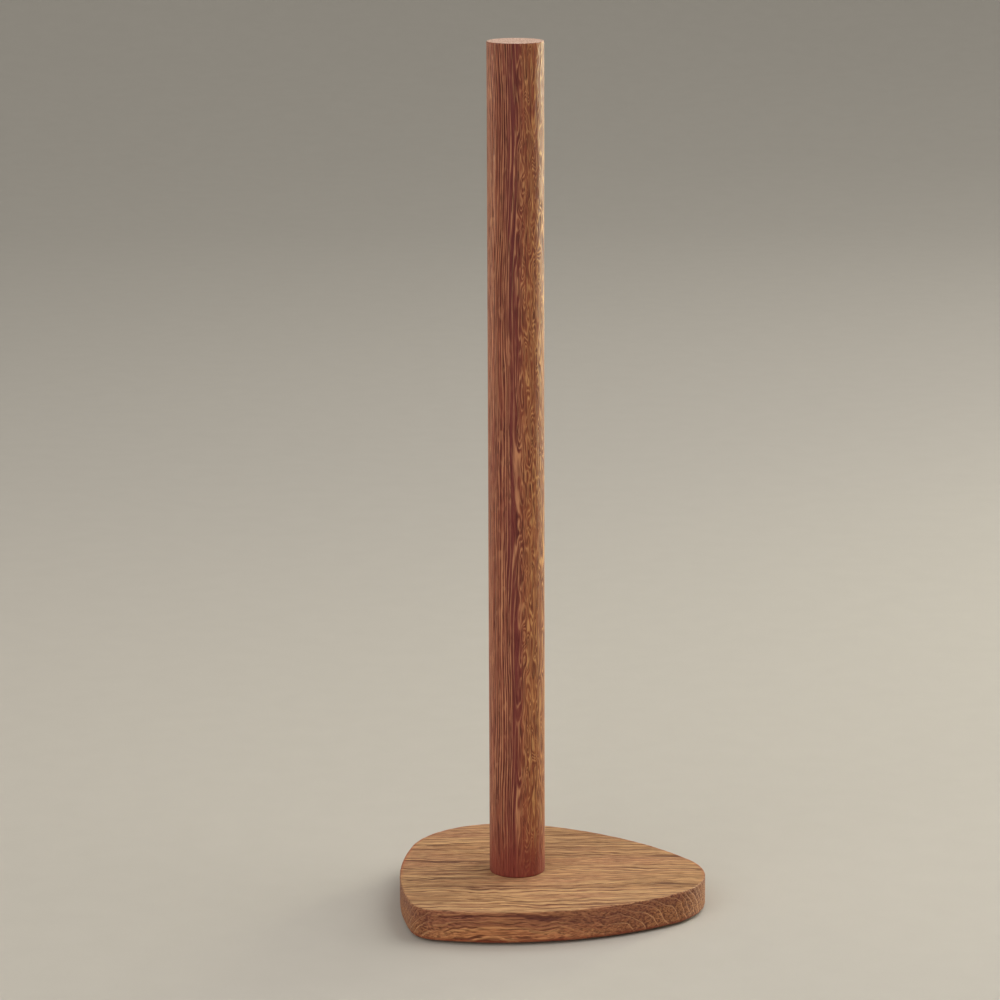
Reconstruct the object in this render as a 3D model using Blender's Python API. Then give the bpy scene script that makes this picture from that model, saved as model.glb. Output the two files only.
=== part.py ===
"""Paper towel holder: a round oak post bolted from below to a pebble-shaped oak base board.

Units are metres and +Z is up. The origin is on the surface that the holder stands on, under the middle
of the base board's bounding box. +X is to the holder's right, and the board's grain runs along X.
"""
import math

import bmesh
import bpy
from mathutils import Vector

# Clearance left between pieces that touch
GAP = 0.0003

# Base board: three round corners joined by three gently bulging sides
BOARD_THICKNESS = 0.0127
BOARD_TOP_EASE = 0.0005
BOARD_BOTTOM_ROUND = 0.0015
# Each corner: its direction in degrees, how far out its arc's centre lies, the arc's radius, and the
# radius of the side that leads on counter-clockwise to the next corner
CORNERS = {
    "right": (-12.3, 0.0358, 0.0321, 0.1222),
    "back": (123.4, 0.0239, 0.0395, 0.1452),
    "front": (226.5, 0.0545, 0.0135, 0.1158),
}
ARC_STEP = math.radians(5.0)
SIDE_STEPS = 14

# Post: a straight dowel, placed from the point that the corner directions start from
POST_RADIUS = 0.0111
POST_LENGTH = 0.333
POST_EASE = 0.0006
POST_OFFSET = Vector((-0.0084, -0.0023))
POST_STEPS = 64

# Foot pads, let into shallow recesses under the corners
FOOT_RADIUS = 0.007
FOOT_ROUND = 0.0006
FOOT_STANDS_PROUD = 0.001
FOOT_RECESS_DEPTH = 0.0015
FOOT_FROM_CORNER = 0.0165
FOOT_STEPS = 36

# M6 button-head clamp bolt, with its washers in a counterbore
BOLT_RADIUS = 0.003
BOLT_LENGTH = 0.020
BOLT_PITCH = 0.001
BOLT_THREAD_DEPTH = 0.0005
BOLT_PLAIN_LENGTH = 0.004
HEAD_RADIUS = 0.00525
HEAD_HEIGHT = 0.0033
HEAD_RIM_HEIGHT = 0.0006
HEAD_CROWN_RADIUS = 0.0029
SOCKET_ACROSS_FLATS = 0.004
SOCKET_DEPTH = 0.002
WASHER_RADIUS = 0.006
WASHER_THICKNESS = 0.0016
WASHER_HOLE_RADIUS = 0.0033
SPRING_WASHER_RADIUS = 0.0057
SPRING_WASHER_SPLIT = 12.0
SPRING_WASHER_RISE = 0.0002
COUNTERBORE_RADIUS = 0.007
COUNTERBORE_DEPTH = 0.0079
BOLT_HOLE_RADIUS = 0.0035
HARDWARE_STEPS = 32

# Brass insert in the post's lower end
INSERT_LENGTH = 0.013
INSERT_BODY_RADIUS = 0.0046
INSERT_RIDGE_RADIUS = 0.0053
INSERT_BORE_RADIUS = 0.0033
INSERT_RIDGE_PITCH = 0.0025
INSERT_FLANGE_RADIUS = 0.0062
INSERT_FLANGE_THICKNESS = 0.0012
INSERT_BORE_DEPTH = 0.018

# Heights that follow from the sizes above
BOARD_BOTTOM = FOOT_STANDS_PROUD
BOARD_TOP = BOARD_BOTTOM + BOARD_THICKNESS
POST_BOTTOM = BOARD_TOP + GAP
POST_TOP = POST_BOTTOM + POST_LENGTH


def clear_scene():
    """Remove every object that the scene starts with."""
    for thing in list(bpy.data.objects):
        bpy.data.objects.remove(thing, do_unlink=True)


def material(name, colour, roughness, metallic=0.0):
    """A plain Principled material."""
    made = bpy.data.materials.new(name)
    made.use_nodes = True
    shader = made.node_tree.nodes["Principled BSDF"]
    shader.inputs["Base Color"].default_value = (*colour, 1.0)
    shader.inputs["Roughness"].default_value = roughness
    shader.inputs["Metallic"].default_value = metallic
    return made


def add_object(name, shape, surface=None):
    """Turn a bmesh into an object with outward faces and smooth round sides."""
    bmesh.ops.recalc_face_normals(shape, faces=shape.faces)
    mesh = bpy.data.meshes.new(name)
    shape.to_mesh(mesh)
    shape.free()
    mesh.shade_smooth()
    mesh.set_sharp_from_angle(angle=math.radians(35.0))
    thing = bpy.data.objects.new(name, mesh)
    bpy.context.scene.collection.objects.link(thing)
    if surface:
        mesh.materials.append(surface)
    return thing


def cut(body, cutter):
    """Cut one object out of another with an exact Boolean, and keep the cutter as a wire guide."""
    cutter.hide_render = True
    cutter.display_type = "WIRE"
    modifier = body.modifiers.new(cutter.name, "BOOLEAN")
    modifier.operation = "DIFFERENCE"
    modifier.solver = "EXACT"
    modifier.object = cutter


def arc(centre, radius, start, end, steps):
    """Points on an arc in a plane, from one angle to the other, both ends included."""
    angles = [start + (end - start) * step / steps for step in range(steps + 1)]
    return [centre + radius * Vector((math.cos(angle), math.sin(angle))) for angle in angles]


def heading(vector):
    """The direction of a flat vector, in radians."""
    return math.atan2(vector.y, vector.x)


def corner_centres():
    """Centre of each corner's arc."""
    return [
        distance * Vector((math.cos(math.radians(turn)), math.sin(math.radians(turn))))
        for turn, distance, _, _ in CORNERS.values()
    ]


def side_centre(first, first_radius, second, second_radius, side_radius):
    """Centre of the side's large arc, which touches both corner arcs from outside."""
    to_first = side_radius - first_radius
    to_second = side_radius - second_radius
    between = second - first
    along = between.normalized()
    inward = Vector((-along.y, along.x))
    reach = (to_first ** 2 - to_second ** 2 + between.length_squared) / (2.0 * between.length)
    return first + along * reach + inward * math.sqrt(to_first ** 2 - reach ** 2)


def board_outline(inset=0.0):
    """The base board's outline, counter-clockwise, moved in from its edge by the inset."""
    centres = corner_centres()
    radii = [corner[2] for corner in CORNERS.values()]
    side_radii = [corner[3] for corner in CORNERS.values()]
    count = len(centres)
    side_centres = [
        side_centre(centres[i], radii[i], centres[(i + 1) % count], radii[(i + 1) % count], side_radii[i])
        for i in range(count)
    ]
    points = []
    for i in range(count):
        start = heading(centres[i] - side_centres[i - 1])
        end = heading(centres[i] - side_centres[i])
        end += math.tau if end < start else 0.0
        steps = math.ceil((end - start) / ARC_STEP)
        points += arc(centres[i], radii[i] - inset, start, end, steps)
        start = heading(centres[i] - side_centres[i])
        end = heading(centres[(i + 1) % count] - side_centres[i])
        end += math.tau if end < start else 0.0
        points += arc(side_centres[i], side_radii[i] - inset, start, end, SIDE_STEPS)[1:-1]
    return points


def board_middle():
    """Middle of the outline's bounding box, which becomes the origin."""
    points = board_outline()
    across = [point.x for point in points]
    deep = [point.y for point in points]
    return Vector((min(across) + max(across), min(deep) + max(deep))) / 2.0


MIDDLE = board_middle()
POST_AXIS = POST_OFFSET - MIDDLE


def turned(name, profile, steps, surface=None):
    """Turn a profile of (radius, height) points round the post's axis."""
    shape = bmesh.new()
    verts = [shape.verts.new((radius, 0.0, height)) for radius, height in profile]
    edges = [shape.edges.new(pair) for pair in zip(verts, verts[1:])]
    if profile[0][0] > 0.0:
        edges.append(shape.edges.new((verts[-1], verts[0])))
    bmesh.ops.spin(
        shape, geom=verts + edges, cent=(0.0, 0.0, 0.0), axis=(0.0, 0.0, 1.0), angle=math.tau, steps=steps
    )
    bmesh.ops.remove_doubles(shape, verts=shape.verts, dist=0.000001)
    thing = add_object(name, shape, surface)
    thing.location = (POST_AXIS.x, POST_AXIS.y, 0.0)
    return thing


def quarter_round(centre, radius, start, end, steps=4):
    """Profile points round an edge; the angles are in degrees, from straight out towards straight up."""
    flat = arc(Vector(centre), radius, math.radians(start), math.radians(end), steps)
    return [(point.x, point.y) for point in flat]


def ridges(low, high, root, crest, pitch):
    """Profile points up the outside of a thread that is drawn as separate rings."""
    points = []
    for turn in range(int((high - low) / pitch)):
        base = low + turn * pitch
        points += [(root, base), (crest, base + pitch * 0.5)]
    return points + [(root, low + int((high - low) / pitch) * pitch)]


def make_board(oak):
    """Base board with rounded edges, bolt hole, counterbore and foot recesses."""
    rows = []
    for step in range(5):
        turn = math.radians(22.5 * step)
        inset = BOARD_BOTTOM_ROUND * (1.0 - math.sin(turn))
        rows.append((inset, BOARD_BOTTOM + BOARD_BOTTOM_ROUND * (1.0 - math.cos(turn))))
    for step in range(4):
        turn = math.radians(30.0 * step)
        inset = BOARD_TOP_EASE * (1.0 - math.cos(turn))
        rows.append((inset, BOARD_TOP - BOARD_TOP_EASE * (1.0 - math.sin(turn))))
    shape = bmesh.new()
    rings = [
        [shape.verts.new((point.x - MIDDLE.x, point.y - MIDDLE.y, height)) for point in board_outline(inset)]
        for inset, height in rows
    ]
    for lower, upper in zip(rings, rings[1:]):
        for i in range(len(lower)):
            shape.faces.new((lower[i - 1], lower[i], upper[i], upper[i - 1]))
    shape.faces.new(rings[0])
    shape.faces.new(rings[-1])
    board = add_object("base_board", shape, oak)

    ceiling = BOARD_BOTTOM + COUNTERBORE_DEPTH
    above = BOARD_TOP + BOARD_THICKNESS
    below = BOARD_BOTTOM - BOARD_THICKNESS
    bolt_way = [
        (0.0, above),
        (BOLT_HOLE_RADIUS, above),
        (BOLT_HOLE_RADIUS, ceiling),
        (COUNTERBORE_RADIUS, ceiling),
        (COUNTERBORE_RADIUS, below),
        (0.0, below),
    ]
    cut(board, turned("bolt_hole_guide", bolt_way, HARDWARE_STEPS))
    top = BOARD_BOTTOM + FOOT_RECESS_DEPTH
    recess = [(0.0, top), (FOOT_RADIUS + GAP, top), (FOOT_RADIUS + GAP, below), (0.0, below)]
    for corner, place in foot_places().items():
        guide = turned(f"foot_recess_guide_{corner}", recess, FOOT_STEPS)
        guide.location = (place.x, place.y, 0.0)
        cut(board, guide)
    return board


def make_post(oak):
    """Dowel post with eased ends and a blind hole for the insert in its foot."""
    ledge = POST_BOTTOM + INSERT_FLANGE_THICKNESS + GAP
    hole_radius = INSERT_RIDGE_RADIUS + GAP
    profile = [(0.0, POST_TOP)]
    profile += quarter_round((POST_RADIUS - POST_EASE, POST_TOP - POST_EASE), POST_EASE, 90.0, 0.0)
    profile += quarter_round((POST_RADIUS - POST_EASE, POST_BOTTOM + POST_EASE), POST_EASE, 0.0, -90.0)
    profile += [
        (INSERT_FLANGE_RADIUS + GAP, POST_BOTTOM),
        (INSERT_FLANGE_RADIUS + GAP, ledge),
        (hole_radius, ledge),
        (hole_radius, POST_BOTTOM + INSERT_BORE_DEPTH),
        (0.0, POST_BOTTOM + INSERT_BORE_DEPTH),
    ]
    return turned("post", profile, POST_STEPS, oak)


def make_insert(brass):
    """Flanged brass insert with cutting ridges outside and a bore for the bolt."""
    flange_top = POST_BOTTOM + INSERT_FLANGE_THICKNESS
    top = POST_BOTTOM + INSERT_LENGTH
    profile = [
        (INSERT_BORE_RADIUS, POST_BOTTOM),
        (INSERT_FLANGE_RADIUS, POST_BOTTOM),
        (INSERT_FLANGE_RADIUS, flange_top),
    ]
    profile += ridges(
        flange_top, top - INSERT_RIDGE_PITCH * 0.5, INSERT_BODY_RADIUS, INSERT_RIDGE_RADIUS, INSERT_RIDGE_PITCH
    )
    profile += [(INSERT_BODY_RADIUS, top), (INSERT_BORE_RADIUS, top)]
    return turned("threaded_insert", profile, HARDWARE_STEPS, brass)


def stack_heights():
    """Undersides of the flat washer and the spring washer, and the bolt head's bearing face."""
    flat = BOARD_BOTTOM + COUNTERBORE_DEPTH - GAP - WASHER_THICKNESS
    spring = flat - GAP - WASHER_THICKNESS - SPRING_WASHER_RISE
    bearing = spring - GAP
    return flat, spring, bearing


def make_bolt(steel):
    """Button-head bolt, head down, with a hexagonal socket."""
    bearing = stack_heights()[2]
    bottom = bearing - HEAD_HEIGHT
    tip = bearing + BOLT_LENGTH
    rim = bearing - HEAD_RIM_HEIGHT
    crown = [
        (
            HEAD_CROWN_RADIUS + (HEAD_RADIUS - HEAD_CROWN_RADIUS) * math.sin(math.radians(turn)),
            bottom + (rim - bottom) * (1.0 - math.cos(math.radians(turn))),
        )
        for turn in (0.0, 18.0, 36.0, 54.0, 72.0, 90.0)
    ]
    profile = [(0.0, bottom)] + crown
    profile += [(HEAD_RADIUS, bearing), (BOLT_RADIUS, bearing)]
    thread_start = bearing + BOLT_PLAIN_LENGTH
    profile += [(BOLT_RADIUS, thread_start)]
    root = BOLT_RADIUS - BOLT_THREAD_DEPTH
    profile += ridges(thread_start + BOLT_THREAD_DEPTH, tip, root, BOLT_RADIUS, BOLT_PITCH)
    profile += [(root, tip), (0.0, tip)]
    bolt = turned("clamp_bolt", profile, HARDWARE_STEPS, steel)

    shape = bmesh.new()
    bmesh.ops.create_cone(
        shape,
        cap_ends=True,
        segments=6,
        radius1=SOCKET_ACROSS_FLATS / math.sqrt(3.0),
        radius2=SOCKET_ACROSS_FLATS / math.sqrt(3.0),
        depth=SOCKET_DEPTH * 2.0,
    )
    socket = add_object("socket_guide", shape)
    socket.location = (POST_AXIS.x, POST_AXIS.y, bottom)
    cut(bolt, socket)
    return bolt


def make_flat_washer(steel):
    """Plain washer against the counterbore's ceiling."""
    low = stack_heights()[0]
    high = low + WASHER_THICKNESS
    profile = [
        (WASHER_HOLE_RADIUS, high),
        (WASHER_RADIUS, high),
        (WASHER_RADIUS, low),
        (WASHER_HOLE_RADIUS, low),
    ]
    return turned("flat_washer", profile, HARDWARE_STEPS, steel)


def make_spring_washer(steel):
    """Split ring of square section that rises a little from one end to the other."""
    low = stack_heights()[1]
    high = low + WASHER_THICKNESS
    shape = bmesh.new()
    corners = [
        (WASHER_HOLE_RADIUS, low),
        (SPRING_WASHER_RADIUS, low),
        (SPRING_WASHER_RADIUS, high),
        (WASHER_HOLE_RADIUS, high),
    ]
    section = [
        [
            shape.verts.new((
                radius * math.cos(turn),
                radius * math.sin(turn),
                height + SPRING_WASHER_RISE * step / HARDWARE_STEPS,
            ))
            for radius, height in corners
        ]
        for step, turn in enumerate(
            math.radians(SPRING_WASHER_SPLIT + (360.0 - SPRING_WASHER_SPLIT) * step / HARDWARE_STEPS)
            for step in range(HARDWARE_STEPS + 1)
        )
    ]
    for ring, following in zip(section, section[1:]):
        for i in range(len(corners)):
            shape.faces.new((ring[i - 1], ring[i], following[i], following[i - 1]))
    shape.faces.new(section[0])
    shape.faces.new(section[-1])
    washer = add_object("spring_washer", shape, steel)
    washer.location = (POST_AXIS.x, POST_AXIS.y, 0.0)
    return washer


def foot_places():
    """Centre of each foot pad, set in from its corner's tip."""
    places = {}
    for name, (turn, distance, radius, _) in CORNERS.items():
        reach = distance + radius - FOOT_FROM_CORNER
        direction = Vector((math.cos(math.radians(turn)), math.sin(math.radians(turn))))
        places[name] = direction * reach - MIDDLE
    return places


def make_feet(rubber):
    """One round pad under each corner."""
    top = BOARD_BOTTOM + FOOT_RECESS_DEPTH - GAP
    profile = [(0.0, top), (FOOT_RADIUS, top)]
    profile += quarter_round((FOOT_RADIUS - FOOT_ROUND, FOOT_ROUND), FOOT_ROUND, 0.0, -90.0)
    profile += [(0.0, 0.0)]
    for corner, place in foot_places().items():
        pad = turned(f"foot_pad_{corner}", profile, FOOT_STEPS, rubber)
        pad.location = (place.x, place.y, 0.0)


def main():
    """Build the holder."""
    clear_scene()
    board_oak = material("board_oak", (0.42, 0.22, 0.10), 0.55)
    post_oak = material("post_oak", (0.30, 0.125, 0.06), 0.55)
    brass = material("brass", (0.68, 0.50, 0.20), 0.35, 1.0)
    steel = material("zinc_steel", (0.60, 0.61, 0.62), 0.35, 1.0)
    rubber = material("foot_rubber", (0.035, 0.032, 0.030), 0.85)
    make_board(board_oak)
    make_post(post_oak)
    make_insert(brass)
    make_bolt(steel)
    make_flat_washer(steel)
    make_spring_washer(steel)
    make_feet(rubber)


main()
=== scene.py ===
"""Paper towel holder: fine meshes and oak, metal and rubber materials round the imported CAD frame."""
import math

import bmesh
import bpy
import numpy as np
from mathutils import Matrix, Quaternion, Vector, noise
from mathutils.geometry import tessellate_polygon


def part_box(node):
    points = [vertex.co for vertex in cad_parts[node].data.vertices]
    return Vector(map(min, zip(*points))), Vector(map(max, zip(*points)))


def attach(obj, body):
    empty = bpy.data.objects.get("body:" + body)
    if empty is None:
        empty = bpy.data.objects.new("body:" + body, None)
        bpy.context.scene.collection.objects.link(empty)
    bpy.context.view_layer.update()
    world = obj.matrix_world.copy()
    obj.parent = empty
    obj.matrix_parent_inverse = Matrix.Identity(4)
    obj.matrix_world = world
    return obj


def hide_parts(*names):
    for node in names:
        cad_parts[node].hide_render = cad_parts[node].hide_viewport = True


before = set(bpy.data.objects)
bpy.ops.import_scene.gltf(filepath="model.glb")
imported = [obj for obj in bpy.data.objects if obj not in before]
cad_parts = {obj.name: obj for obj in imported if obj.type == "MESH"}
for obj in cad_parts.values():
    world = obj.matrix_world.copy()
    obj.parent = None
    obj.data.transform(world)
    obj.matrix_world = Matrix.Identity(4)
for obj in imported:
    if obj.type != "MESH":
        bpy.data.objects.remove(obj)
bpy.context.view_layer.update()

MM = 0.001

# Places read from the frame
BOARD_LOW, BOARD_HIGH = (Vector(corner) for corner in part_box("base_board"))
POST_LOW, POST_HIGH = (Vector(corner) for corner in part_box("post"))
BOLT_LOW, BOLT_HIGH = (Vector(corner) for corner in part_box("clamp_bolt"))
INSERT_LOW, INSERT_HIGH = (Vector(corner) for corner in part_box("threaded_insert"))
WASHER_LOW, WASHER_HIGH = (Vector(corner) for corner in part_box("flat_washer"))
SPRING_LOW, SPRING_HIGH = (Vector(corner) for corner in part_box("spring_washer"))
AXIS = (POST_LOW + POST_HIGH) / 2.0
BOARD_TOP = BOARD_HIGH.z
BOARD_BOTTOM = BOARD_LOW.z

# Board outline: each corner's direction in degrees, distance of its arc's centre, arc radius, and the
# radius of the side that leads on counter-clockwise
CORNERS = (
    (-12.3, 35.8 * MM, 32.1 * MM, 122.2 * MM),
    (123.4, 23.9 * MM, 39.5 * MM, 145.2 * MM),
    (226.5, 54.5 * MM, 13.5 * MM, 115.8 * MM),
)
EDGE_SPACING = 0.7 * MM
TOP_EASE = 0.6 * MM
BOTTOM_ROUND = 1.5 * MM
WALL_RINGS = 16
RIM_INSETS = (1.1 * MM, 1.7 * MM, 2.4 * MM, 3.2 * MM)
TOP_RINGS = 92
RIM_WEAR_AND_HIGHLIGHT_REACH = 1.4 * MM
BOLT_HOLE_RADIUS = 3.5 * MM
COUNTERBORE_RADIUS = 7.0 * MM
COUNTERBORE_DEPTH = 7.9 * MM
FOOT_RECESS_RADIUS = 7.3 * MM
FOOT_RECESS_DEPTH = 1.5 * MM
FOOT_SEGMENTS = 72

# Post
POST_RADIUS = (POST_HIGH.x - POST_LOW.x) / 2.0
POST_EASE = 0.5 * MM
POST_SEGMENTS = 160
POST_ROW = 0.9 * MM
POST_END_RINGS = 15
INSERT_HOLE_RADIUS = 5.6 * MM
INSERT_HOLE_DEPTH = 18.0 * MM
FLANGE_HOLE_RADIUS = 6.5 * MM
FLANGE_HOLE_DEPTH = 1.5 * MM

# Hardware: M6 button-head bolt, split washer, flat washer and flanged insert
BOLT_RADIUS = 3.0 * MM
BOLT_ROOT_RADIUS = 2.45 * MM
BOLT_PITCH = 1.0 * MM
BOLT_PLAIN_LENGTH = 4.0 * MM
HEAD_RADIUS = 5.25 * MM
HEAD_HEIGHT = 3.3 * MM
HEAD_RIM_HEIGHT = 0.6 * MM
CROWN_RADIUS = 2.9 * MM
SOCKET_ACROSS_FLATS = 4.0 * MM
SOCKET_DEPTH = 2.0 * MM
WASHER_RADIUS = 6.0 * MM
WASHER_HOLE_RADIUS = 3.3 * MM
SPRING_RADIUS = 5.7 * MM
SPRING_THICKNESS = 1.55 * MM
SPRING_SPLIT = 12.0
INSERT_FLANGE_RADIUS = 6.2 * MM
INSERT_FLANGE_THICKNESS = 1.2 * MM
INSERT_BODY_RADIUS = 4.6 * MM
INSERT_CREST_RADIUS = 5.3 * MM
INSERT_PITCH = 2.5 * MM
METAL_SEGMENTS = 96
THREAD_RINGS_PER_TURN = 10
BREAK = 0.12 * MM

# Feet
FOOT_ROUND = 0.6 * MM
FOOT_RIB_SPACING = 1.3 * MM
FOOT_RIB_DEPTH = 0.25 * MM
FOOT_FACE_RINGS = 60


# ---------------------------------------------------------------- meshes


def add_piece(name, verts, faces, node, material, sharp=40.0):
    """Add a mesh that rides on the holder's one body and stands for a CAD node."""
    mesh = bpy.data.meshes.new(name)
    mesh.from_pydata([tuple(vert) for vert in verts], [], faces)
    mesh.validate()
    shape = bmesh.new()
    shape.from_mesh(mesh)
    bmesh.ops.recalc_face_normals(shape, faces=shape.faces)
    shape.to_mesh(mesh)
    shape.free()
    mesh.shade_smooth()
    mesh.set_sharp_from_angle(angle=math.radians(sharp))
    mesh.materials.append(material)
    piece = bpy.data.objects.new(name, mesh)
    bpy.context.scene.collection.objects.link(piece)
    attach(piece, "root")
    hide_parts(node)
    return piece


def join_rings(first, second, count):
    """Quads between two rings of vertices that start at the given indices."""
    return [
        (first + i, first + (i + 1) % count, second + (i + 1) % count, second + i) for i in range(count)
    ]


def stack_rings(rings):
    """Vertices and side faces of a stack of equal rings."""
    count = len(rings[0])
    verts = [point for ring in rings for point in ring]
    faces = []
    for row in range(len(rings) - 1):
        faces += join_rings(row * count, (row + 1) * count, count)
    return verts, faces


def around(radius, turn, height, centre=None):
    """A point at a radius, an angle in radians and a height, by default from the post's axis."""
    middle = centre or AXIS
    return Vector((middle.x + radius * math.cos(turn), middle.y + radius * math.sin(turn), height))


def circle(radius, height, count, centre=None):
    """One level ring of points."""
    return [around(radius, math.tau * i / count, height, centre) for i in range(count)]


def heading(vector):
    """The direction of a flat vector, in radians."""
    return math.atan2(vector.y, vector.x)


def side_centre(first, first_radius, second, second_radius, side_radius):
    """Centre of a side's large arc, which runs smoothly into both corner arcs."""
    to_first = side_radius - first_radius
    to_second = side_radius - second_radius
    between = second - first
    along = between.normalized()
    inward = Vector((-along.y, along.x))
    reach = (to_first ** 2 - to_second ** 2 + between.length_squared) / (2.0 * between.length)
    return first + along * reach + inward * math.sqrt(to_first ** 2 - reach ** 2)


def outline_arcs():
    """The outline's arcs in turn, each as centre, radius, start angle and end angle."""
    centres = [
        distance * Vector((math.cos(math.radians(turn)), math.sin(math.radians(turn))))
        for turn, distance, _, _ in CORNERS
    ]
    radii = [corner[2] for corner in CORNERS]
    count = len(CORNERS)
    sides = [
        side_centre(centres[i], radii[i], centres[(i + 1) % count], radii[(i + 1) % count], CORNERS[i][3])
        for i in range(count)
    ]
    arcs = []
    for i in range(count):
        turns = [heading(centres[i] - sides[i - 1]), heading(centres[i] - sides[i])]
        arcs.append((centres[i], radii[i], *turns))
        turns = [heading(centres[i] - sides[i]), heading(centres[(i + 1) % count] - sides[i])]
        arcs.append((sides[i], CORNERS[i][3], *turns))
    return [
        (centre, radius, start, end if end > start else end + math.tau)
        for centre, radius, start, end in arcs
    ]


def board_outline():
    """Points round the board's edge with the outward direction at each, in the frame's place."""
    edge = []
    for centre, radius, start, end in outline_arcs():
        steps = math.ceil((end - start) * radius / EDGE_SPACING)
        for step in range(steps):
            turn = start + (end - start) * step / steps
            out = Vector((math.cos(turn), math.sin(turn)))
            edge.append((centre + out * radius, out))
    across = [point.x for point, _ in edge]
    deep = [point.y for point, _ in edge]
    drawn = Vector((min(across) + max(across), min(deep) + max(deep))) / 2.0
    wanted = ((BOARD_LOW + BOARD_HIGH) / 2.0).xy
    return [(point - drawn + wanted, out) for point, out in edge]


def grain_relief(along, across, depth_across):
    """Height of brushed grain at a point given in millimetres along and across the fibres."""
    broad = noise.noise(Vector((along / 34.0, across / 2.4, depth_across / 2.4)))
    narrow = noise.noise(Vector((along / 15.0 + 7.0, across / 0.95, depth_across / 0.95)))
    return broad * 0.075 * MM + narrow * 0.05 * MM


def board_relief(point):
    """Relief of the board, whose grain runs along X."""
    return grain_relief(point.x / MM, point.y / MM, point.z / MM)


def post_relief(point):
    """Relief of the post, whose grain runs along Z."""
    return 0.5 * grain_relief(point.z / MM + 90.0, point.x / MM, point.y / MM)


def board_rows(edge):
    """Rings from the bottom edge up the wall and in over the top to the bolt hole, with relief."""
    rows = []
    for step in range(7):
        turn = math.radians(15.0 * step)
        inset = BOTTOM_ROUND * (1.0 - math.sin(turn))
        rows.append((inset, BOARD_BOTTOM + BOTTOM_ROUND * (1.0 - math.cos(turn)), turn - math.pi / 2.0))
    wall_low = BOARD_BOTTOM + BOTTOM_ROUND
    wall_high = BOARD_TOP - TOP_EASE
    for step in range(1, WALL_RINGS):
        rows.append((0.0, wall_low + (wall_high - wall_low) * step / WALL_RINGS, 0.0))
    for step in range(7):
        turn = math.radians(15.0 * step)
        rows.append((TOP_EASE * (1.0 - math.cos(turn)), wall_high + TOP_EASE * math.sin(turn), turn))
    for inset in RIM_INSETS:
        rows.append((inset, BOARD_TOP, math.pi / 2.0))
    rings = []
    for inset, height, tilt in rows:
        ring = []
        for point, out in edge:
            flat = point - out * inset
            place = Vector((flat.x, flat.y, height))
            facing = Vector((out.x * math.cos(tilt), out.y * math.cos(tilt), math.sin(tilt)))
            ring.append(place + facing * board_relief(place))
        rings.append(ring)
    rim = [point - out * RIM_INSETS[-1] for point, out in edge]
    for step in range(1, TOP_RINGS + 1):
        ring = []
        for point in rim:
            from_axis = point - AXIS.xy
            hole = AXIS.xy + from_axis.normalized() * BOLT_HOLE_RADIUS
            flat = point.lerp(hole, step / TOP_RINGS)
            place = Vector((flat.x, flat.y, BOARD_TOP))
            ring.append(place + Vector((0.0, 0.0, board_relief(place))))
        rings.append(ring)
    return rings


def foot_nodes():
    """Names of the foot pads' CAD nodes."""
    return sorted(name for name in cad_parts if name.startswith("foot_pad"))


def foot_middle(name):
    """Middle of a foot pad's CAD box."""
    low, high = (Vector(corner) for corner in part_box(name))
    return (low + high) / 2.0


def make_board(material):
    """Base board with brushed grain, rounded edges, bolt hole, counterbore and foot recesses."""
    edge = board_outline()
    verts, faces = stack_rings(board_rows(edge))
    count = len(edge)
    ceiling = BOARD_BOTTOM + COUNTERBORE_DEPTH
    inner = [
        [
            Vector((*(AXIS.xy + (point - AXIS.xy).normalized() * radius), height))
            for point, _ in edge
        ]
        for radius, height in (
            (BOLT_HOLE_RADIUS, ceiling),
            (COUNTERBORE_RADIUS, ceiling),
            (COUNTERBORE_RADIUS, BOARD_BOTTOM),
        )
    ]
    last = len(verts) - count
    for ring in inner:
        faces += join_rings(last, len(verts), count)
        last = len(verts)
        verts += ring
    loops = [list(range(count)), list(range(last, last + count))]
    for name in foot_nodes():
        mouth = len(verts)
        end = mouth + FOOT_SEGMENTS
        for height in (BOARD_BOTTOM, BOARD_BOTTOM + FOOT_RECESS_DEPTH):
            verts += circle(FOOT_RECESS_RADIUS, height, FOOT_SEGMENTS, foot_middle(name))
        faces += join_rings(mouth, end, FOOT_SEGMENTS)
        faces.append(tuple(range(end, len(verts))))
        loops.append(list(range(mouth, end)))
    faces += fill_between(verts, loops)
    board = add_piece("oak_board", verts, faces, "base_board", material, sharp=50.0)
    mark_edges(board, edge)


def fill_between(verts, loops):
    """Triangles of a flat face that has the first loop as its outline and the others as holes."""
    flat = [[Vector((verts[i].x, verts[i].y, 0.0)) for i in loop] for loop in loops]
    order = [i for loop in loops for i in loop]
    return [tuple(order[i] for i in triangle) for triangle in tessellate_polygon(flat)]


def mark_edges(piece, edge):
    """Store how near each vertex is to the top edge, from 0 to 1, for the worn rim and the painted
    highlight along the back rim.
    """
    rim = np.array([(point.x, point.y) for point, _ in edge])
    places = np.array([vert.co for vert in piece.data.vertices])
    values = np.zeros(len(places))
    near_top = places[:, 2] > BOARD_TOP - RIM_WEAR_AND_HIGHLIGHT_REACH
    for i in np.nonzero(near_top)[0]:
        aside = np.min(np.hypot(rim[:, 0] - places[i, 0], rim[:, 1] - places[i, 1]))
        away = math.hypot(aside, BOARD_TOP - places[i, 2])
        values[i] = max(0.0, 1.0 - away / RIM_WEAR_AND_HIGHLIGHT_REACH)
    piece.data.attributes.new("rim", "FLOAT", "POINT").data.foreach_set("value", values)


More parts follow.
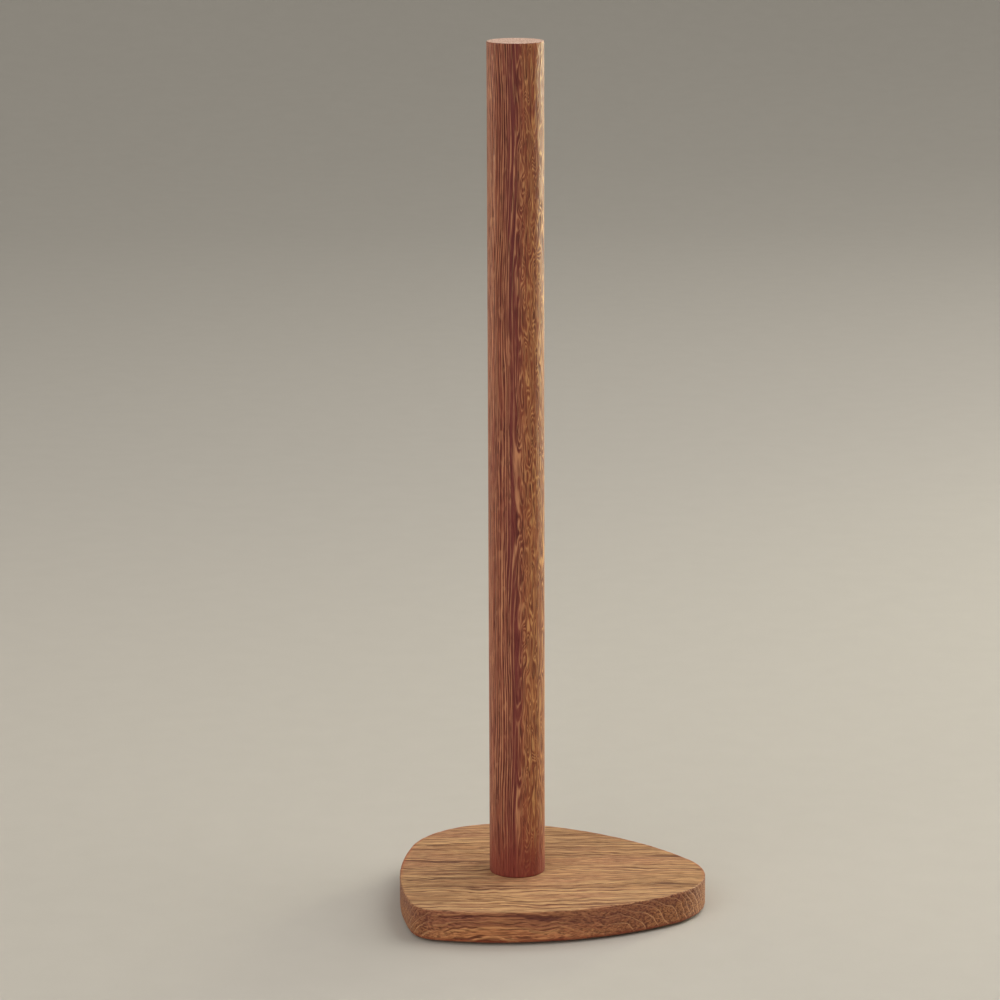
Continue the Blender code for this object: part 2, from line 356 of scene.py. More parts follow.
def make_post(material):
    """Post with brushed grain, eased ends and the insert's hole."""
    low = BOARD_TOP
    high = POST_HIGH.z
    profile = [(POST_RADIUS - POST_EASE, low, -math.pi / 2.0)]
    for step in range(1, 6):
        turn = math.radians(18.0 * step)
        profile.append((
            POST_RADIUS - POST_EASE * (1.0 - math.sin(turn)),
            low + POST_EASE * (1.0 - math.cos(turn)),
            turn - math.pi / 2.0,
        ))
    straight = high - low - 2.0 * POST_EASE
    rows = round(straight / POST_ROW)
    for row in range(1, rows):
        profile.append((POST_RADIUS, low + POST_EASE + straight * row / rows, 0.0))
    for step in range(6):
        turn = math.radians(18.0 * step)
        profile.append((
            POST_RADIUS - POST_EASE * (1.0 - math.cos(turn)),
            high - POST_EASE * (1.0 - math.sin(turn)),
            turn,
        ))
    for radius in np.linspace(POST_RADIUS - POST_EASE, 0.4 * MM, POST_END_RINGS + 1)[1:]:
        profile.append((float(radius), high, math.pi / 2.0))
    rings = []
    for radius, height, tilt in profile:
        ring = []
        for place in circle(radius, height, POST_SEGMENTS):
            out = (place - Vector((AXIS.x, AXIS.y, height))).normalized()
            facing = out * math.cos(tilt) + Vector((0.0, 0.0, math.sin(tilt)))
            ring.append(place + facing * post_relief(place))
        rings.append(ring)
    verts, faces = stack_rings(rings)
    faces.append(tuple(range(len(verts) - POST_SEGMENTS, len(verts))))
    hole = (
        (FLANGE_HOLE_RADIUS, low),
        (FLANGE_HOLE_RADIUS, low + FLANGE_HOLE_DEPTH),
        (INSERT_HOLE_RADIUS, low + FLANGE_HOLE_DEPTH),
        (INSERT_HOLE_RADIUS, low + INSERT_HOLE_DEPTH),
    )
    last = 0
    for radius, height in hole:
        faces += join_rings(last, len(verts), POST_SEGMENTS)
        last = len(verts)
        verts += circle(radius, height, POST_SEGMENTS)
    faces.append(tuple(range(last, last + POST_SEGMENTS)))
    add_piece("oak_post", verts, faces, "post", material, sharp=50.0)


def thread_rings(low, high, root, crest, pitch):
    """Rings up a helical thread that runs out at both ends; a crest inside the root makes a nut's."""
    steps = round((high - low) / pitch * THREAD_RINGS_PER_TURN)
    rings = []
    for step in range(steps + 1):
        height = low + (high - low) * step / steps
        fade = min(1.0, (height - low) / pitch, (high - height) / pitch)
        ring = []
        for i in range(METAL_SEGMENTS):
            turn = (height / pitch - i / METAL_SEGMENTS) % 1.0
            ridge = min(1.0, 1.15 * (1.0 - abs(2.0 * turn - 1.0)))
            radius = root + (crest - root) * ridge * fade
            ring.append(around(radius, math.tau * i / METAL_SEGMENTS, height))
        rings.append(ring)
    return rings


def hexagon(across_flats, height):
    """A ring of points round a hexagon."""
    ring = []
    for i in range(METAL_SEGMENTS):
        turn = math.tau * i / METAL_SEGMENTS
        from_flat = (turn + math.pi / 6.0) % (math.pi / 3.0) - math.pi / 6.0
        ring.append(around(across_flats / 2.0 / math.cos(from_flat), turn, height))
    return ring


def rings_of(profile):
    """Level rings for a profile of (radius, height) points."""
    return [circle(radius, height, METAL_SEGMENTS) for radius, height in profile]


def make_bolt(material):
    """Button-head bolt, head down, with a hexagonal socket and a helical thread."""
    low = BOLT_LOW.z
    tip = BOLT_HIGH.z
    bearing = low + HEAD_HEIGHT
    crown_height = HEAD_HEIGHT - HEAD_RIM_HEIGHT
    rings = [
        hexagon(0.2 * MM, low + SOCKET_DEPTH + 0.5 * MM),
        hexagon(SOCKET_ACROSS_FLATS, low + SOCKET_DEPTH),
        hexagon(SOCKET_ACROSS_FLATS, low + BREAK),
        hexagon(SOCKET_ACROSS_FLATS + 2.0 * BREAK, low),
    ]
    for step in range(11):
        turn = math.radians(9.0 * step)
        radius = CROWN_RADIUS + (HEAD_RADIUS - CROWN_RADIUS) * math.sin(turn)
        rings += rings_of([(radius, low + crown_height * (1.0 - math.cos(turn)))])
    thread_start = bearing + BOLT_PLAIN_LENGTH
    rings += rings_of([
        (HEAD_RADIUS, bearing - BREAK),
        (HEAD_RADIUS - BREAK, bearing),
        (BOLT_RADIUS + 2.0 * BREAK, bearing),
        (BOLT_RADIUS, bearing + 2.0 * BREAK),
        (BOLT_RADIUS, thread_start - 2.0 * BREAK),
    ])
    rings += thread_rings(thread_start, tip - 0.4 * MM, BOLT_ROOT_RADIUS, BOLT_RADIUS, BOLT_PITCH)
    rings += rings_of([(BOLT_ROOT_RADIUS - 0.35 * MM, tip), (0.3 * MM, tip)])
    verts, faces = stack_rings(rings)
    faces.append(tuple(range(METAL_SEGMENTS)))
    faces.append(tuple(range(len(verts) - METAL_SEGMENTS, len(verts))))
    add_piece("zinc_bolt", verts, faces, "clamp_bolt", material)


def make_flat_washer(material):
    """Stamped washer: one edge rolled over, the other with a slight burr."""
    low = WASHER_LOW.z
    high = WASHER_HIGH.z
    profile = [
        (WASHER_HOLE_RADIUS, high - BREAK),
        (WASHER_HOLE_RADIUS, low + BREAK),
        (WASHER_HOLE_RADIUS + BREAK, low),
        (WASHER_RADIUS - 3.0 * BREAK, low),
        (WASHER_RADIUS - BREAK, low + BREAK),
        (WASHER_RADIUS, low + 3.0 * BREAK),
        (WASHER_RADIUS, high - BREAK),
        (WASHER_RADIUS - BREAK, high),
        (WASHER_HOLE_RADIUS + BREAK, high),
    ]
    verts, faces = stack_rings(rings_of(profile))
    faces += join_rings(len(verts) - METAL_SEGMENTS, 0, METAL_SEGMENTS)
    add_piece("zinc_flat_washer", verts, faces, "flat_washer", material)


def make_spring_washer(material):
    """Split washer: a square wire with broken edges that climbs from one cut end to the other."""
    low = SPRING_LOW.z
    rise = SPRING_HIGH.z - low - SPRING_THICKNESS
    corners = (
        (WASHER_HOLE_RADIUS, BREAK),
        (WASHER_HOLE_RADIUS + BREAK, 0.0),
        (SPRING_RADIUS - BREAK, 0.0),
        (SPRING_RADIUS, BREAK),
        (SPRING_RADIUS, SPRING_THICKNESS - BREAK),
        (SPRING_RADIUS - BREAK, SPRING_THICKNESS),
        (WASHER_HOLE_RADIUS + BREAK, SPRING_THICKNESS),
        (WASHER_HOLE_RADIUS, SPRING_THICKNESS - BREAK),
    )
    rings = []
    for step in range(METAL_SEGMENTS + 1):
        part = step / METAL_SEGMENTS
        turn = math.radians(SPRING_SPLIT + (360.0 - SPRING_SPLIT) * part)
        rings.append([around(radius, turn, low + height + rise * part) for radius, height in corners])
    verts, faces = stack_rings(rings)
    faces.append(tuple(range(len(corners))))
    faces.append(tuple(range(len(verts) - len(corners), len(verts))))
    add_piece("zinc_spring_washer", verts, faces, "spring_washer", material)


def make_insert(material):
    """Flanged insert with a coarse outer thread for wood and a fine thread in its bore."""
    low = INSERT_LOW.z
    high = INSERT_HIGH.z
    flange_top = low + INSERT_FLANGE_THICKNESS
    bore = WASHER_HOLE_RADIUS + 0.2 * MM
    rings = rings_of([
        (bore, low),
        (INSERT_FLANGE_RADIUS - BREAK, low),
        (INSERT_FLANGE_RADIUS, low + BREAK),
        (INSERT_FLANGE_RADIUS, flange_top - BREAK),
        (INSERT_FLANGE_RADIUS - BREAK, flange_top),
        (INSERT_BODY_RADIUS, flange_top),
    ])
    rings += thread_rings(
        flange_top + BREAK, high - 0.5 * MM, INSERT_BODY_RADIUS, INSERT_CREST_RADIUS, INSERT_PITCH
    )
    rings += rings_of([(INSERT_BODY_RADIUS - 2.0 * BREAK, high), (bore, high)])
    rings += thread_rings(low + BREAK, high - BREAK, bore, bore - 0.35 * MM, BOLT_PITCH)[::-1]
    verts, faces = stack_rings(rings)
    faces += join_rings(len(verts) - METAL_SEGMENTS, 0, METAL_SEGMENTS)
    add_piece("brass_insert", verts, faces, "threaded_insert", material)


def make_foot(name, material):
    """Soft pad with concentric ribs on its underside."""
    low, high = (Vector(corner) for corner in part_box(name))
    middle = foot_middle(name)
    reach = (high.x - low.x) / 2.0
    flat = reach - FOOT_ROUND
    profile = []
    for step in range(1, FOOT_FACE_RINGS + 1):
        radius = flat * step / FOOT_FACE_RINGS
        groove = 0.5 - 0.5 * math.cos(math.tau * (flat - radius) / FOOT_RIB_SPACING)
        profile.append((radius, low.z + FOOT_RIB_DEPTH * groove))
    for step in range(1, 9):
        turn = math.radians(11.25 * step)
        profile.append((flat + FOOT_ROUND * math.sin(turn), low.z + FOOT_ROUND * (1.0 - math.cos(turn))))
    profile += [(reach, high.z - BREAK), (reach - BREAK, high.z), (0.3 * MM, high.z)]
    rings = [circle(radius, height, FOOT_SEGMENTS, middle) for radius, height in profile]
    verts, faces = stack_rings(rings)
    faces.append(tuple(range(FOOT_SEGMENTS)))
    faces.append(tuple(range(len(verts) - FOOT_SEGMENTS, len(verts))))
    add_piece(f"soft_{name}", verts, faces, name, material)


# ---------------------------------------------------------------- materials


class Tree:
    """One material's nodes, built with short calls that return output sockets."""

    def __init__(self, name):
        self.material = bpy.data.materials.new(name)
        self.material.use_nodes = True
        self.tree = self.material.node_tree
        self.shader = self.tree.nodes["Principled BSDF"]

    def feed(self, socket, value):
        """Link a socket or set its value."""
        if isinstance(value, bpy.types.NodeSocket):
            self.tree.links.new(value, socket)
        else:
            socket.default_value = value

    def node(self, kind, **settings):
        """Add a node with its settings."""
        made = self.tree.nodes.new("ShaderNode" + kind)
        for key, value in settings.items():
            setattr(made, key, value)
        return made

    def math(self, operation, *values):
        """One Math node."""
        made = self.node("Math", operation=operation)
        for socket, value in zip(made.inputs, values):
            self.feed(socket, value)
        return made.outputs[0]

    def vector(self, x, y, z):
        """Three numbers as a vector."""
        made = self.node("CombineXYZ")
        for socket, value in zip(made.inputs, (x, y, z)):
            self.feed(socket, value)
        return made.outputs[0]

    def parts(self, vector):
        """A vector's three numbers."""
        made = self.node("SeparateXYZ")
        self.feed(made.inputs[0], vector)
        return made.outputs

    def scaled(self, x, by_x, y, by_y, z, by_z):
        """A vector of three numbers, each multiplied by its own factor."""
        return self.vector(
            self.math("MULTIPLY", x, by_x), self.math("MULTIPLY", y, by_y), self.math("MULTIPLY", z, by_z)
        )

    def noise(self, place, scale=1.0, detail=2.0, roughness=0.5):
        """A noise node, whose outputs are a number and a colour."""
        made = self.node("TexNoise")
        self.feed(made.inputs["Vector"], place)
        self.feed(made.inputs["Scale"], scale)
        self.feed(made.inputs["Detail"], detail)
        self.feed(made.inputs["Roughness"], roughness)
        return made.outputs

    def spread(self, value, low, high, to_low=0.0, to_high=1.0, smooth=False):
        """Map a range of numbers onto another and hold it there."""
        made = self.node("MapRange", interpolation_type="SMOOTHSTEP" if smooth else "LINEAR")
        for socket, number in zip(made.inputs, (value, low, high, to_low, to_high)):
            self.feed(socket, number)
        return made.outputs[0]

    def mix(self, factor, first, second, blend="MIX"):
        """Mix two colours."""
        made = self.node("Mix", data_type="RGBA", blend_type=blend)
        self.feed(made.inputs[0], factor)
        self.feed(made.inputs[6], first)
        self.feed(made.inputs[7], second)
        return made.outputs[2]

    def ramp(self, value, stops):
        """A ramp through grey levels given as (place, level)."""
        made = self.node("ValToRGB")
        elements = made.color_ramp.elements
        while len(elements) < len(stops):
            elements.new(0.5)
        for element, (place, level) in zip(elements, stops):
            element.position = place
            element.color = (level, level, level, 1.0)
        self.feed(made.inputs[0], value)
        return made.outputs[0]

    def tint(self, colour, by):
        """Multiply a colour by another, or by one number."""
        if isinstance(by, bpy.types.NodeSocket):
            by = self.vector(by, by, by)
        return self.mix(1.0, colour, by, blend="MULTIPLY")

    def layer(self, colour, amount, share, over):
        """Lay a tone over a colour where an amount of 0 to 1 says so."""
        return self.mix(self.math("MULTIPLY", amount, share), colour, over)

    def bump(self, height, distance):
        """A bump from a height of 0 to 1."""
        made = self.node("Bump")
        self.feed(made.inputs["Distance"], distance)
        self.feed(made.inputs["Height"], height)
        return made.outputs[0]


def tone(red, green, blue):
    """A colour from display values of 0 to 255."""
    def linear(level):
        part = level / 255.0
        return part / 12.92 if part <= 0.04045 else ((part + 0.055) / 1.055) ** 2.4
    return (linear(red), linear(green), linear(blue), 1.0)


class Oak(Tree):
    """Solid oak: growth rings round a pith line, with hairlines, fibres, pores, rays and patches.

    Lengths are in millimetres. p and q run across the grain, and g runs along it.
    """

    def __init__(self, name, grain, pith, look):
        super().__init__(name)
        self.look = look
        where = self.node("TexCoord")
        self.x, self.y, self.z = (
            self.math("MULTIPLY", part, 1.0 / MM) for part in self.parts(where.outputs["Object"])
        )
        self.facing = self.parts(where.outputs["Normal"])
        if grain == "X":
            self.p, self.q, self.g, end_facing = self.y, self.z, self.x, self.facing[0]
        else:
            self.p, self.q, self.g, end_facing = self.x, self.y, self.z, self.facing[2]
        self.end = self.spread(self.math("ABSOLUTE", end_facing), 0.12, 0.55, smooth=True)
        self.grow_rings(pith)
        self.draw_lines()
        self.draw_fibres()
        self.paint()
        self.roughen()

    def clouds(self, by_across, by_along, detail, roughness=0.5):
        """Noise drawn out along the grain, as a number and a colour."""
        place = self.scaled(self.p, by_across, self.q, by_across, self.g, by_along)
        return self.noise(place, detail=detail, roughness=roughness)

    def strands(self, by_across, by_along, detail, roughness=0.5):
        """Noise drawn out along the grain that wanders with the pith."""
        place = self.scaled(self.from_p, by_across, self.from_q, by_across, self.g, by_along)
        return self.noise(place, detail=detail, roughness=roughness)[0]

    def grow_rings(self, pith):
        """Wavering rings round a pith line that wanders along the grain."""
        look = self.look
        bend = look["bend"]
        wander = self.parts(self.clouds(0.018, 0.009, detail=1.0)[1])
        self.from_p, self.from_q = (
            self.math("ADD", self.math("SUBTRACT", part, middle), self.spread(shift, 0.0, 1.0, -bend, bend))
            for part, middle, shift in zip((self.p, self.q), pith, wander)
        )
        self.radius = self.math("SQRT", self.math(
            "ADD", *(self.math("MULTIPLY", part, part) for part in (self.from_p, self.from_q))
        ))
        self.round_pith = self.math("MULTIPLY", self.math("ARCTAN2", self.from_q, self.from_p), 60.0)
        waver = self.clouds(look["waver_across"], look["waver_along"], detail=2.0, roughness=0.6)[0]
        waver = self.spread(waver, 0.0, 1.0, -look["waver"], look["waver"])
        # Where the surface runs along the rings, small swells in them show as nested loops
        aside = self.math("ABSOLUTE", self.math("SUBTRACT", self.p, look["loops_at"]))
        self.loops = self.spread(aside, look["loops_reach"], 0.4 * look["loops_reach"], smooth=True)
        swell = self.clouds(look["loops_across"], look["loops_along"], detail=1.0)[0]
        swell = self.spread(swell, 0.25, 0.75, -look["loops"], look["loops"])
        self.ring = self.math("MULTIPLY_ADD", self.loops, swell, self.math("ADD", self.radius, waver))
        self.phase = self.math("DIVIDE", self.ring, look["ring_width"])
        self.within = self.math("FRACT", self.phase)
        self.early = self.ramp(
            self.within, [(0.0, 0.35), (0.05, 1.0), (0.28, 0.62), (0.55, 0.2), (0.92, 0.0), (1.0, 0.35)]
        )

    def draw_lines(self):
        """Hairlines that follow the rings, unevenly spaced and now strong, now faint."""
        look = self.look
        place = self.scaled(self.ring, 0.45, self.round_pith, 0.02, self.g, 0.004)
        drift = self.noise(place, detail=1.0)[0]
        turns = self.math("MULTIPLY_ADD", drift, 2.4, self.math("DIVIDE", self.ring, look["line_spacing"]))
        wave = self.math("SINE", self.math("MULTIPLY", turns, math.tau))
        strength = self.spread(self.strands(0.6, 0.035, detail=2.0), 0.36, 0.60, look["faint"], 0.5)
        for amount, least in ((self.end, 0.2), (self.loops, look["loops_strength"])):
            strength = self.math("MULTIPLY", strength, self.spread(amount, 0.0, 1.0, 1.0, least))
        self.line = self.math("MULTIPLY_ADD", wave, strength, 0.5)

    def draw_fibres(self):
        """Fibres, streaks, pores, checks and rays, specks in end grain, and broad patches."""
        self.fibre = self.strands(1.9, 0.085, detail=3.0, roughness=0.62)
        self.streak = self.strands(0.42, 0.014, detail=2.0)
        pores = self.math("MULTIPLY_ADD", self.end, 0.05, self.strands(2.9, 0.13, detail=1.0))
        in_early = self.spread(self.early, 0.0, 0.8, 0.35, 1.0)
        self.pores = self.math("MULTIPLY", self.spread(pores, 0.55, 0.66), in_early)
        self.checks = self.spread(self.strands(0.75, 0.02, detail=2.0), 0.66, 0.71)
        place = self.scaled(self.round_pith, 1.5, self.radius, 0.3, self.g, 0.16)
        self.rays = self.spread(self.noise(place, detail=1.0)[0], 0.64, 0.74)
        specks = self.clouds(1.1, 0.7, detail=1.0)[0]
        self.specks = self.math("MULTIPLY", self.spread(specks, 0.53, 0.60), self.end)
        self.patches = self.clouds(0.045, 0.018, detail=2.0)[0]

    def paint(self):
        """Lay the tones over each other, then make each year's ring a little lighter or darker."""
        tones = self.look["tones"]
        shares = self.look["shares"]
        colour = self.layer(tones["late"], self.early, shares["early"], tones["early"])
        ring_edge = self.math("MULTIPLY", self.spread(self.within, 0.15, 0.06), self.end)
        for amount, share, over in (
            (self.spread(self.streak, 0.42, 0.62), shares["streak"], "streak"),
            (self.spread(self.patches, 0.42, 0.66), shares["patch"], "patch"),
            (self.spread(self.fibre, 0.54, 0.68), shares["fibre"], "light"),
            (self.spread(self.fibre, 0.48, 0.34), shares["fibre"], "dark"),
            (self.spread(self.line, 0.58, 0.88), shares["line"], "light"),
            (self.spread(self.line, self.look["dark_below"], 0.08), shares["line"], "dark"),
            (self.rays, 0.35, "light"),
            (self.pores, 0.7, "pore"),
            (self.checks, 0.75, "pore"),
            (self.specks, 0.7, "speck"),
            (ring_edge, 0.75, "ring_edge"),
        ):
            colour = self.layer(colour, amount, share, tones[over])
        place = self.vector(self.math("FLOOR", self.phase), 3.7, 1.3)
        year = self.noise(place, scale=1.37, detail=0.0)[0]
        self.colour = self.tint(colour, self.spread(year, 0.25, 0.75, 0.88, 1.10))

    def roughen(self):
        """Bump and roughness from the lines, fibres and pores."""
        height = self.math("MULTIPLY_ADD", self.line, 0.55, self.fibre)
        height = self.math("MULTIPLY_ADD", self.early, -0.35, height)
        height = self.math("MULTIPLY_ADD", self.pores, -0.8, height)
        self.feed(self.shader.inputs["Normal"], self.bump(height, self.look["relief"]))
        rough = self.math("MULTIPLY_ADD", self.fibre, -0.25, self.look["roughness"])
        rough = self.math("MULTIPLY_ADD", self.pores, 0.18, rough)
        self.feed(self.shader.inputs["Roughness"], rough)
        self.shader.inputs["Specular IOR Level"].default_value = 0.22

    def cover(self, amount, share, over):
        """Lay one more tone over the whole colour where an amount of 0 to 1 says so."""
        self.colour = self.layer(self.colour, amount, share, over)

    def finish(self):
        """Feed the colour to the shader and return the material."""
        self.feed(self.shader.inputs["Base Color"], self.colour)
        return self.material


def board_material():
    """Oak of the board: tan top, walls darkened by painted shade, darker end grain, and reddish rims of
    painted light.
    """
    oak = Oak("board_oak", "X", (-84.0, -20.0), {
        "bend": 5.0,
        "waver": 3.4, "waver_across": 0.07, "waver_along": 0.055,
        "loops_at": -24.0, "loops_reach": 24.0,
        "loops": 0.5, "loops_across": 0.12, "loops_along": 0.035,
        "loops_strength": 1.0,
        "ring_width": 2.5,
        "line_spacing": 2.9,
        "dark_below": 0.25,
        "faint": 0.14,
        "relief": 0.46 * MM,
        "roughness": 0.66,
        "tones": {
            "late": tone(193, 149, 104),
            "early": tone(163, 115, 79),
            "streak": tone(178, 128, 88),
            "patch": tone(178, 120, 94),
            "light": tone(218, 176, 128),
            "dark": tone(98, 58, 42),
            "pore": tone(88, 50, 38),
            "speck": tone(98, 52, 52),
            "ring_edge": tone(236, 198, 150),
        },
        "shares": {"early": 0.6, "streak": 0.55, "patch": 0.5, "line": 0.84, "fibre": 0.75},
    })
    # Painted shade tints the upright walls darker and redder than the top face. The upper part of the wall
    # is darker and redder still.
    level = oak.math("ABSOLUTE", oak.facing[2])
    upright = oak.spread(level, 0.75, 0.35, smooth=True)
    oak.colour = oak.mix(upright, oak.colour, oak.tint(oak.colour, tone(255, 228, 212)))
    uneven = oak.spread(oak.patches, 0.36, 0.60, -2.6, 2.6)
    high = oak.spread(oak.math("ADD", oak.z, uneven), 6.5, 11.5, smooth=True)
    oak.cover(oak.math("MULTIPLY", upright, high), 0.36, tone(108, 58, 56))
    oak.cover(oak.end, 0.15, tone(122, 74, 56))
    # Sanding lightens the rim in broken patches everywhere, and a painted highlight warms the rim along the
    # back
    rim = oak.node("Attribute", attribute_name="rim").outputs["Fac"]
    oak.cover(oak.math("MULTIPLY", rim, oak.spread(oak.fibre, 0.42, 0.58)), 0.3, tone(214, 150, 108))
    back_rim_highlight = oak.spread(oak.y, -22.0, 2.0, smooth=True)
    oak.cover(oak.math("MULTIPLY", oak.spread(rim, 0.0, 0.5), back_rim_highlight), 0.5, tone(180, 94, 62))
    # Painted bounce light: the wall's rounded foot is tinted redder, but not the flat underside
    bottom = BOARD_BOTTOM / MM
    low = oak.spread(oak.z, bottom + 2.0, bottom + 0.3)
    oak.cover(oak.math("MULTIPLY", low, oak.spread(oak.facing[2], -0.98, -0.90)), 0.8, tone(150, 66, 42))
    return oak.finish()


def post_material():
    """Oak of the post: redder and darker, with a dark streak, a gold-tinted right side that is partly
    painted light, painted shade left of the middle and towards the top, a dark foot of painted shade and
    stain, and a pale end.
    """
    tilt = math.radians(50.0)
    away = 90.0
    pith = (AXIS.x / MM - math.sin(tilt) * away, AXIS.y / MM + math.cos(tilt) * away)
    oak = Oak("post_oak", "Z", pith, {
        "bend": 6.0,
        "waver": 0.9, "waver_across": 0.30, "waver_along": 0.022,
        "loops_at": AXIS.x / MM + 5.6, "loops_reach": 6.6,
        "loops": 3.8, "loops_across": 0.27, "loops_along": 0.055,
        "loops_strength": 0.62,
        "ring_width": 2.2,
        "line_spacing": 0.95,
        "faint": 0.2,
        "dark_below": 0.42,
        "relief": 0.26 * MM,
        "roughness": 0.64,
        "tones": {
            "late": tone(153, 84, 61),
            "early": tone(132, 65, 51),
            "streak": tone(133, 65, 55),
            "patch": tone(128, 58, 53),
            "light": tone(212, 148, 108),
            "dark": tone(82, 28, 28),
            "pore": tone(72, 26, 28),
            "speck": tone(72, 26, 28),
            "ring_edge": tone(180, 120, 88),
        },
        "shares": {"early": 0.5, "streak": 0.4, "patch": 0.35, "line": 0.74, "fibre": 0.55},
    })
    across = oak.math("SUBTRACT", oak.x, AXIS.x / MM)
    sway = oak.noise(oak.scaled(oak.z, 0.016, oak.x, 0.0, oak.y, 0.0), detail=2.0)[0]
    streak_at = oak.spread(sway, 0.3, 0.7, -3.8, 1.4)
    from_streak = oak.math("ABSOLUTE", oak.math("SUBTRACT", across, streak_at))
    streak = oak.spread(from_streak, 3.4, 0.4, smooth=True)
    oak.cover(oak.math("MULTIPLY", streak, oak.spread(oak.line, 0.95, 0.6)), 0.66, tone(116, 50, 48))
    # The right side is tinted gold and lighter: partly the wood's gold tone, partly painted light
    golden_and_lit = oak.spread(across, -1.0, 7.0, smooth=True)
    oak.colour = oak.mix(golden_and_lit, oak.colour, oak.tint(oak.colour, (1.19, 1.42, 1.02, 1.0)))
    # Painted shade makes the colour a little darker left of the middle and towards the top
    left = oak.spread(oak.math("ABSOLUTE", oak.math("ADD", across, 3.6)), 1.0, 5.5, 0.89, 1.0)
    oak.colour = oak.tint(oak.colour, oak.math("MULTIPLY", left, oak.spread(oak.z, 180.0, 340.0, 1.0, 0.9)))
    # Painted shade with a darker stain: the post's foot next to the board is darker red-brown
    top = BOARD_TOP / MM
    foot = oak.spread(oak.z, top, top + 30.0, 0.85, 0.0, smooth=True)
    oak.colour = oak.mix(foot, oak.colour, tone(134, 62, 52))
    # The cut end is pale, with dark pores and specks and light fibres
    end = oak.spread(oak.facing[2], 0.45, 0.95, smooth=True)
    oak.cover(end, 0.78, tone(252, 218, 198))
    oak.cover(oak.math("MULTIPLY", end, oak.pores), 0.7, tone(150, 90, 68))
    oak.cover(oak.math("MULTIPLY", end, oak.specks), 0.5, tone(172, 116, 92))
    oak.cover(oak.math("MULTIPLY", end, oak.spread(oak.fibre, 0.52, 0.64)), 0.6, tone(255, 236, 224))
    return oak.finish()


def metal_material(name, colour, stain, shine):
    """Turned and plated metal: fine turning lines, stains, uneven roughness and small dark spots."""
    t = Tree(name)
    x, y, z = t.parts(t.node("TexCoord").outputs["Object"])
    aside = t.math("SUBTRACT", x, AXIS.x)
    deep = t.math("SUBTRACT", y, AXIS.y)
    radius = t.math("SQRT", t.math("ADD", t.math("MULTIPLY", aside, aside), t.math("MULTIPLY", deep, deep)))
    turning = t.noise(t.scaled(radius, 9000.0, z, 9000.0, aside, 60.0), detail=2.0)[0]
    cloud = t.noise(t.scaled(x, 420.0, y, 420.0, z, 420.0), detail=4.0, roughness=0.6)[0]
    spots = t.noise(t.scaled(x, 1500.0, y, 1500.0, z, 1500.0), detail=2.0)[0]
    made = t.layer(colour, t.spread(cloud, 0.42, 0.66), 0.55, stain)
    made = t.layer(made, t.spread(spots, 0.60, 0.74), 0.4, tone(70, 62, 54))
    made = t.layer(made, t.spread(turning, 0.4, 0.65), 0.16, tone(244, 240, 230))
    t.feed(t.shader.inputs["Base Color"], made)
    t.shader.inputs["Metallic"].default_value = 1.0
    rough = t.math("MULTIPLY_ADD", cloud, 0.35, shine)
    t.feed(t.shader.inputs["Roughness"], t.math("MULTIPLY_ADD", turning, 0.1, rough))
    t.feed(t.shader.inputs["Normal"], t.bump(t.math("MULTIPLY_ADD", spots, 0.4, turning), 0.02 * MM))
    return t.material


def rubber_material():
    """Dark rubber with a fine moulded grain and a little pale dust."""
    t = Tree("foot_rubber")
    x, y, z = t.parts(t.node("TexCoord").outputs["Object"])
    grain = t.noise(t.scaled(x, 3200.0, y, 3200.0, z, 3200.0), detail=3.0, roughness=0.6)[0]
    dust = t.noise(t.scaled(x, 330.0, y, 330.0, z, 700.0), detail=4.0, roughness=0.65)[0]
    colour = t.mix(t.spread(grain, 0.35, 0.65), tone(40, 38, 36), tone(54, 51, 48))
    colour = t.layer(colour, t.spread(dust, 0.50, 0.72), 0.5, tone(112, 104, 94))
    t.feed(t.shader.inputs["Base Color"], colour)
    t.feed(t.shader.inputs["Roughness"], t.math("MULTIPLY_ADD", dust, 0.3, 0.6))
    t.feed(t.shader.inputs["Normal"], t.bump(grain, 0.05 * MM))
    return t.material


# ---------------------------------------------------------------- stage


def make_floor():
    """A plain pale floor that curves up into a backdrop all round, far outside every view."""
    flat = 1.9
    cove = 2.4
    profile = [(flat * part, 0.0) for part in (0.02, 0.06, 0.13, 0.23, 0.36, 0.54, 0.76, 1.0)]
    for step in range(1, 13):
        turn = math.radians(7.5 * step)
        profile.append((flat + cove * math.sin(turn), cove * (1.0 - math.cos(turn))))
    profile.append((flat + cove, 4.0))
    count = 96
    rings = [circle(radius, height, count, Vector((0.0, 0.0, 0.0))) for radius, height in profile]
    verts, faces = stack_rings(rings)
    faces = [face[::-1] for face in faces] + [tuple(range(count))]
    mesh = bpy.data.meshes.new("floor")
    mesh.from_pydata([tuple(vert) for vert in verts], [], faces)
    mesh.shade_smooth()
    t = Tree("floor_paint")
    where = t.node("TexCoord").outputs["Object"]
    mottle = t.noise(where, scale=60.0, detail=4.0)[0]
    colour = t.mix(t.spread(mottle, 0.3, 0.7), tone(188, 185, 178), tone(190, 187, 180))
    t.feed(t.shader.inputs["Base Color"], colour)
    t.shader.inputs["Roughness"].default_value = 0.75
    mesh.materials.append(t.material)
    floor = bpy.data.objects.new("floor", mesh)
    bpy.context.scene.collection.objects.link(floor)


def add_light(name, place, target, size, power, colour, beam=180.0):
    """A soft square area light aimed at a point, with its beam's angle, hidden from the camera."""
    lamp = bpy.data.lights.new(name, "AREA")
    lamp.size = size
    lamp.energy = power
    lamp.color = colour
    lamp.spread = math.radians(beam)
    thing = bpy.data.objects.new(name, lamp)
    thing.location = place
    thing.rotation_mode = "QUATERNION"
    thing.rotation_quaternion = (Vector(target) - Vector(place)).to_track_quat("-Z", "Y")
    thing.visible_camera = False
    bpy.context.scene.collection.objects.link(thing)


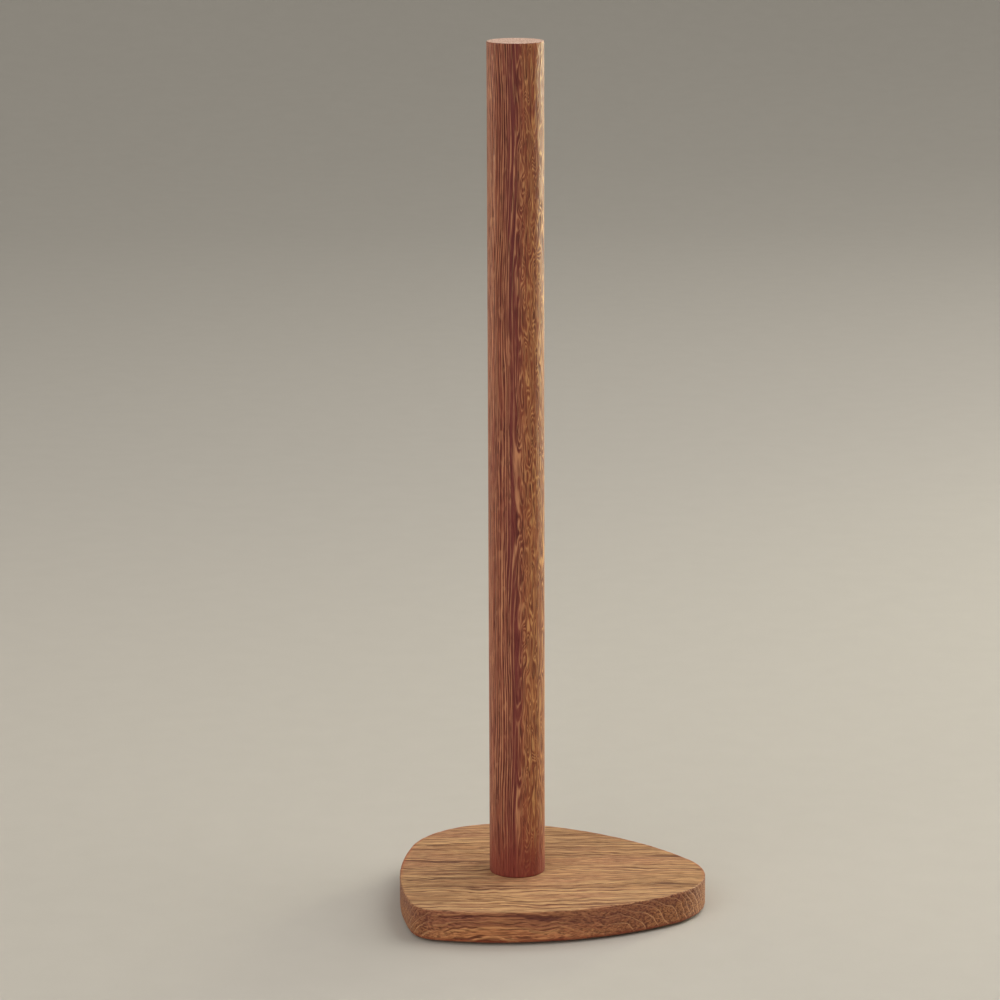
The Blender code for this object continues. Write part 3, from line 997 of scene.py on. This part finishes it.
def make_lights():
    """Soft key from the upper right, a low rim light from behind on each side, weak fill from the front."""
    middle = (0.0, 0.0, 0.13)
    post_middle = (AXIS.x, AXIS.y, 0.19)
    add_light("key", (1.2, 0.4, 1.35), middle, 2.1, 32.0, (1.0, 0.95, 0.87))
    add_light("right_rim", (1.35, 1.5, 0.2), post_middle, 0.5, 1.8, (1.0, 0.97, 0.68), beam=40.0)
    add_light("left_rim", (-1.45, 1.3, 0.2), post_middle, 0.5, 0.55, (1.0, 0.78, 0.52), beam=40.0)
    add_light("fill", (-0.9, -1.5, 0.9), middle, 1.6, 19.0, (1.0, 0.96, 0.92))
    world = bpy.data.worlds.new("studio")
    world.use_nodes = True
    background = world.node_tree.nodes["Background"]
    background.inputs["Color"].default_value = (1.0, 0.965, 0.92, 1.0)
    background.inputs["Strength"].default_value = 0.46
    bpy.context.scene.world = world


def make_camera():
    """Camera in front of the post and above its top end, looking slightly down."""
    lens = bpy.data.cameras.new("camera")
    lens.sensor_width = 36.0
    lens.lens = 131.9
    camera = bpy.data.objects.new("camera", lens)
    camera.location = (AXIS.x, AXIS.y - 1.4106, BOARD_TOP + 0.4664)
    camera.rotation_mode = "QUATERNION"
    camera.rotation_quaternion = (
        Quaternion((0.0, 0.0, 1.0), math.radians(0.262))
        @ Quaternion((1.0, 0.0, 0.0), math.radians(90.0 - 12.538))
        @ Quaternion((0.0, 0.0, 1.0), math.radians(-0.200))
    )
    bpy.context.scene.collection.objects.link(camera)
    bpy.context.scene.camera = camera


make_camera()
make_lights()
make_floor()
make_board(board_material())
make_post(post_material())
ZINC = metal_material("zinc_plate", tone(196, 198, 200), tone(172, 168, 150), 0.22)
BRASS = metal_material("brass", tone(206, 174, 104), tone(160, 122, 70), 0.2)
RUBBER = rubber_material()
make_bolt(ZINC)
make_flat_washer(ZINC)
make_spring_washer(ZINC)
make_insert(BRASS)
for foot_name in foot_nodes():
    make_foot(foot_name, RUBBER)
bpy.context.scene.view_settings.view_transform = "Standard"

bpy.context.view_layer.update()
